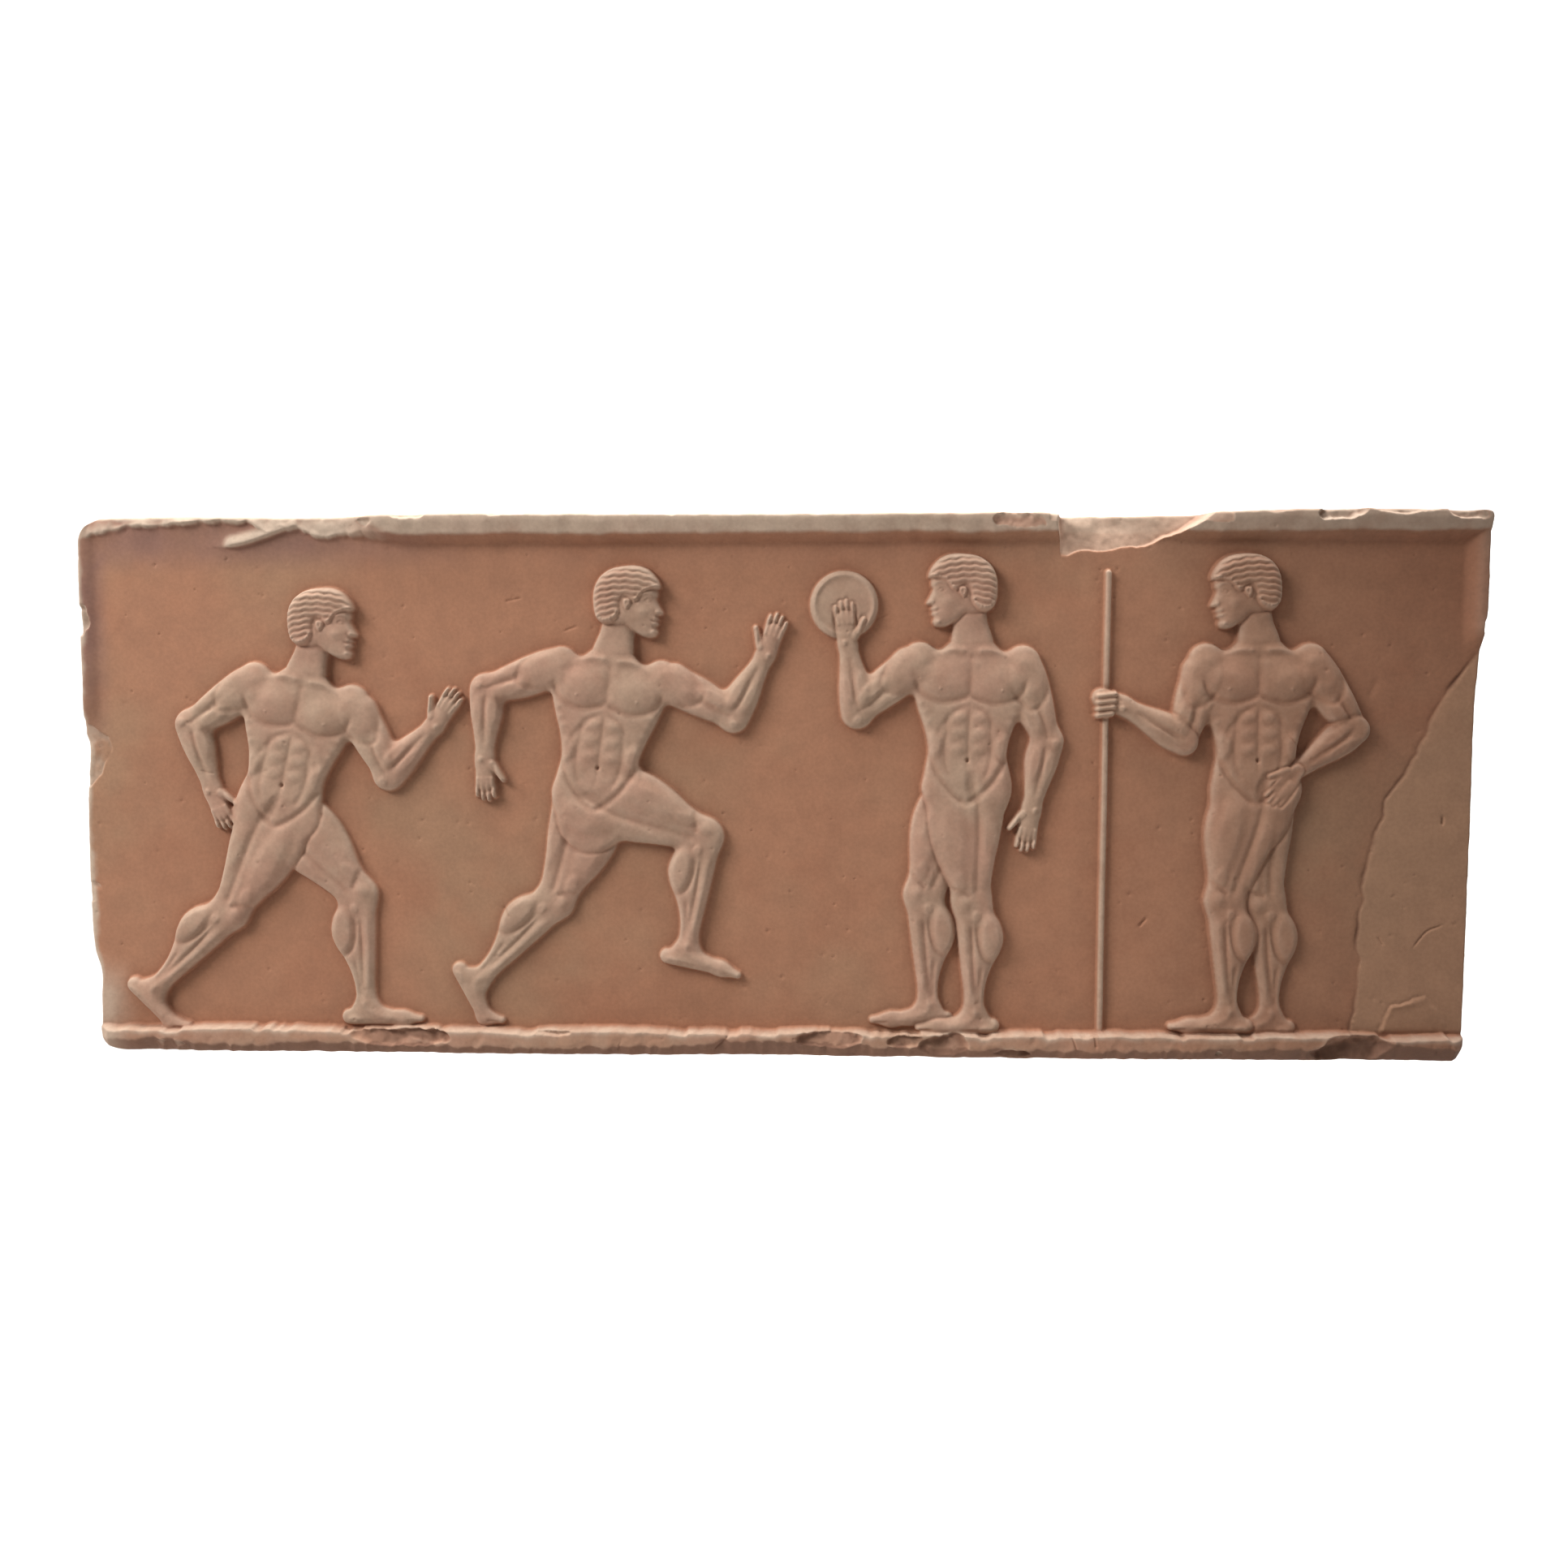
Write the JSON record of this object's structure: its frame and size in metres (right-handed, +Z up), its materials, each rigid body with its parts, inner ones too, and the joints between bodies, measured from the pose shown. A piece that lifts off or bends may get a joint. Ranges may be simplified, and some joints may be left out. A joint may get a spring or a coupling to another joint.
{
  "type": "bas-relief panel",
  "caption": "Long terracotta wall panel carved in low relief with athletes in a frieze between a worn top lip and a bottom ledge, flat at the back.",
  "frame": {"origin": "middle of the flat back, where it rests on the wall", "axes": "+X along the panel to the viewer's right, +Y from the carved face towards the wall, +Z up"},
  "size_m": [0.8007, 0.035, 0.3124],
  "materials": {
    "terracotta": "matte, worn and dusty, paler on the raised parts"
  },
  "bodies": {
    "root": {"relief_panel": "terracotta"}
  },
  "joints": []
}
